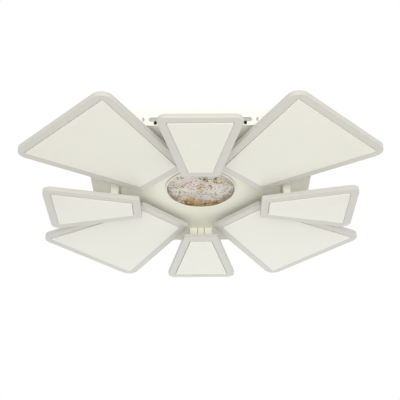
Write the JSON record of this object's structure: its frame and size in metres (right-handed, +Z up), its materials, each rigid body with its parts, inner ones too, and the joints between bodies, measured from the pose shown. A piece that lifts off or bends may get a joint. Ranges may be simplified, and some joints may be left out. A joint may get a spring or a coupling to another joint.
{
  "type": "led ceiling chandelier",
  "caption": "Square-bodied LED ceiling chandelier with large and small petal light panels round a bubble crystal disc, hung from a ceiling bracket.",
  "frame": {"origin": "on the ceiling plane, at the middle of the ceiling screw pattern on the bracket's top face", "axes": "+Z up into the ceiling; X and Y square to the tray's sides, the bracket's rails along Y"},
  "size_m": [0.8356, 0.8356, 0.1065],
  "materials": {
    "white_paint": "satin white powder coat on sheet steel",
    "frame_coat": "satin white coat on pressed aluminium",
    "opal": "smooth opal acrylic",
    "board": "white solder mask on metal-backed board",
    "spacer_coat": "white coat on extruded box",
    "zinc": "bright zinc plate",
    "black_screw": "black oxide",
    "crystal": "clear, full of bubbles, polished face",
    "gold_ring": "gold-brown anodised",
    "bare_aluminium": "plain sheet",
    "lead_sleeve": "dull pale grey sleeve",
    "case_plastic": "fine matt moulding"
  },
  "bodies": {
    "bracket": {"ceiling_bracket": "zinc"},
    "fixture": {"chassis": "white_paint", "large_frame_1": "frame_coat", "large_frame_2": "frame_coat", "large_frame_3": "frame_coat", "large_frame_4": "frame_coat", "small_frame_1": "frame_coat", "small_frame_2": "frame_coat", "small_frame_3": "frame_coat", "small_frame_4": "frame_coat", "large_diffuser_1": "opal", "large_diffuser_2": "opal", "large_diffuser_3": "opal", "large_diffuser_4": "opal", "small_diffuser_1": "opal", "small_diffuser_2": "opal", "small_diffuser_3": "opal", "small_diffuser_4": "opal", "disc_diffuser": "opal", "large_board_1": "board", "large_board_2": "board", "large_board_3": "board", "large_board_4": "board", "small_board_1": "board", "small_board_2": "board", "small_board_3": "board", "small_board_4": "board", "disc_board": "board", "large_spacers_1": "spacer_coat", "large_spacers_2": "spacer_coat", "large_spacers_3": "spacer_coat", "large_spacers_4": "spacer_coat", "small_spacer_1": "spacer_coat", "small_spacer_2": "spacer_coat", "small_spacer_3": "spacer_coat", "small_spacer_4": "spacer_coat", "clamp_nuts": "zinc", "large_screws": "zinc", "small_screws": "zinc", "disc_screws": "zinc", "driver_studs": "zinc", "earth_stud": "zinc", "crystal_disc": "crystal", "disc_ring": "gold_ring", "heat_plate": "bare_aluminium", "large_leads": "lead_sleeve", "small_leads": "lead_sleeve", "disc_leads": "lead_sleeve", "mains_leads": "lead_sleeve", "led_driver_1": "case_plastic", "led_driver_2": "case_plastic", "terminal_block": "case_plastic", "remote_receiver": "case_plastic"},
    "side_screw_1": {"side_screw_1": "black_screw"},
    "side_screw_2": {"side_screw_2": "black_screw"},
    "side_screw_3": {"side_screw_3": "black_screw"},
    "side_screw_4": {"side_screw_4": "black_screw"}
  },
  "joints": [
    {"name": "fixture_lower", "type": "slide", "parent": "bracket", "child": "fixture", "axis": [0, 0, -1], "range_m": [0, 0.06]},
    {"name": "side_screw_1_out", "type": "slide", "parent": "fixture", "child": "side_screw_1", "axis": [0, -1, 0], "range_m": [0, 0.004]},
    {"name": "side_screw_2_out", "type": "slide", "parent": "fixture", "child": "side_screw_2", "axis": [0, 1, 0], "range_m": [0, 0.004]},
    {"name": "side_screw_3_out", "type": "slide", "parent": "fixture", "child": "side_screw_3", "axis": [0, -1, 0], "range_m": [0, 0.004]},
    {"name": "side_screw_4_out", "type": "slide", "parent": "fixture", "child": "side_screw_4", "axis": [0, 1, 0], "range_m": [0, 0.004]}
  ]
}
